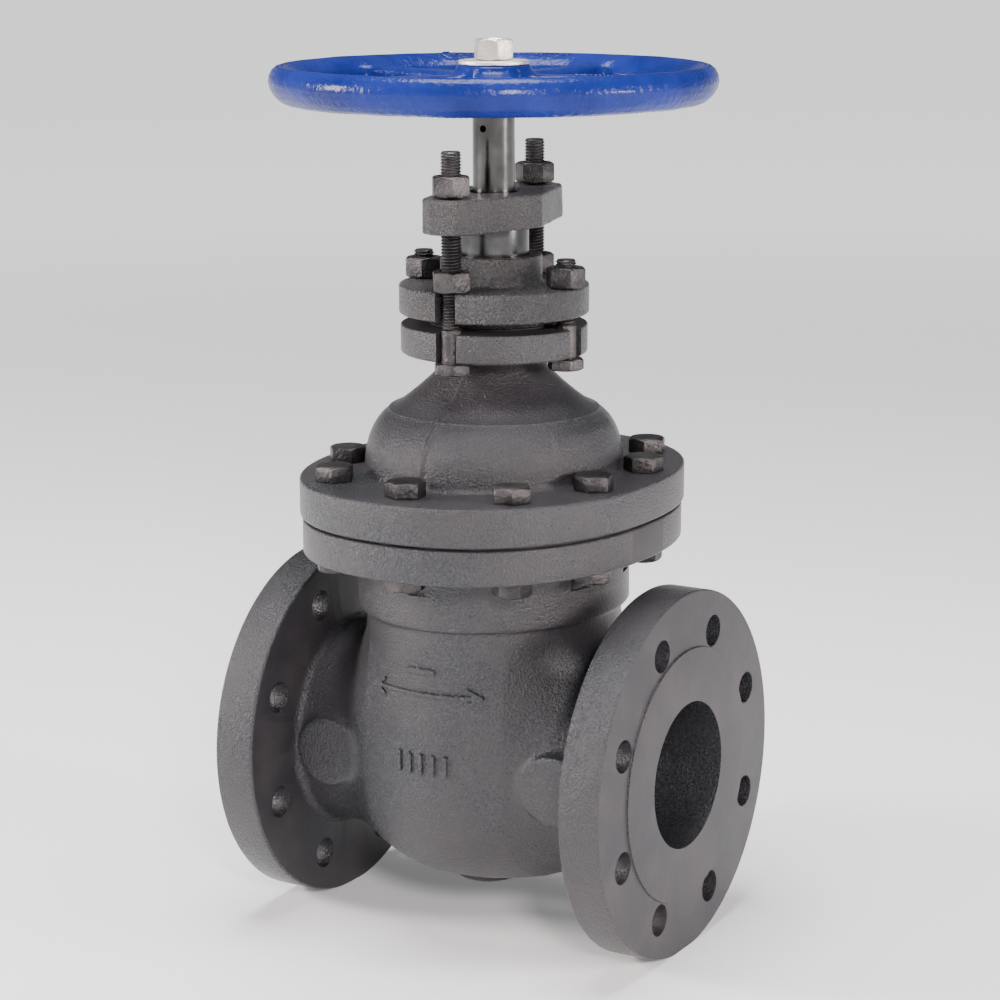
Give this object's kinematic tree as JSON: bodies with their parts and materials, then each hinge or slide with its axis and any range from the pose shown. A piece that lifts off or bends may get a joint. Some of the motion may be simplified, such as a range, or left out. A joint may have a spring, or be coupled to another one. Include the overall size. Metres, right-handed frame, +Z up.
{
  "type": "gate valve",
  "caption": "Flanged cast-iron gate valve with a non-rising stem, an oval bolted bonnet, a stuffing box with its gland, and a blue spoked handwheel.",
  "frame": {"origin": "on the floor under the stem axis, level with the flats under the two pipe flanges; the pipe axis is 125.4 mm above it", "axes": "+X along the pipe axis towards the right-hand flange, +Z up the stem axis towards the handwheel, -Y towards the front of the body"},
  "size_m": [0.3048, 0.3024, 0.6164],
  "materials": {
    "cast_iron": "sand-cast grey iron, dark charcoal, fine grain",
    "dark_steel": "dark brownish grey bolting steel",
    "bright_steel": "turned and polished steel",
    "zinc_plate": "warm pale zinc plate",
    "blue_enamel": "glossy royal-blue enamel with orange peel",
    "bronze": "machined bronze",
    "graphite": "braided graphite packing and sheet gasket"
  },
  "bodies": {
    "root": {"body": "cast_iron", "bonnet": "cast_iron", "bonnet_gasket": "graphite", "seat_ring_left": "bronze", "seat_ring_right": "bronze", "stem_bush": "bronze", "stuffing_box": "cast_iron", "stuffing_box_gasket": "graphite", "packing_ring_1": "graphite", "packing_ring_2": "graphite", "packing_ring_3": "graphite", "packing_ring_4": "graphite", "gland_bolt_front": "dark_steel", "gland_bolt_nut_front": "dark_steel", "gland_bolt_back": "dark_steel", "gland_bolt_nut_back": "dark_steel", "box_bolt_left": "dark_steel", "box_bolt_nut_left": "dark_steel", "box_bolt_right": "dark_steel", "box_bolt_nut_right": "dark_steel", "bonnet_bolt_01": "dark_steel", "bonnet_nut_01": "dark_steel", "bonnet_bolt_02": "dark_steel", "bonnet_nut_02": "dark_steel", "bonnet_bolt_03": "dark_steel", "bonnet_nut_03": "dark_steel", "bonnet_bolt_04": "dark_steel", "bonnet_nut_04": "dark_steel", "bonnet_bolt_05": "dark_steel", "bonnet_nut_05": "dark_steel", "bonnet_bolt_06": "dark_steel", "bonnet_nut_06": "dark_steel", "bonnet_bolt_07": "dark_steel", "bonnet_nut_07": "dark_steel", "bonnet_bolt_08": "dark_steel", "bonnet_nut_08": "dark_steel", "bonnet_bolt_09": "dark_steel", "bonnet_nut_09": "dark_steel", "bonnet_bolt_10": "dark_steel", "bonnet_nut_10": "dark_steel"},
    "stem": {"stem": "bright_steel", "handwheel": "blue_enamel", "wheel_washer": "zinc_plate", "wheel_nut": "zinc_plate"},
    "wedge": {"wedge": "cast_iron", "wedge_face_left": "bronze", "wedge_face_right": "bronze", "stem_nut": "bronze"},
    "gland": {"gland_flange": "cast_iron", "gland_follower": "bright_steel", "gland_top_nut_front": "dark_steel", "gland_top_nut_back": "dark_steel"}
  },
  "joints": [
    {"name": "handwheel_turn", "type": "hinge", "parent": "root", "child": "stem", "pos_m": [0, 0, 0.55], "axis": [0, 0, 1], "range_deg": [0, 6480]},
    {"name": "wedge_lift", "type": "slide", "parent": "root", "child": "wedge", "axis": [0, 0, 1], "range_m": [0, 0.1143]},
    {"name": "gland_travel", "type": "slide", "parent": "root", "child": "gland", "axis": [0, 0, 1], "range_m": [0, 0.008]}
  ],
  "couplings": [
    {"joint": "wedge_lift", "follows": "handwheel_turn", "m_per_rad": 0.0010106}
  ]
}
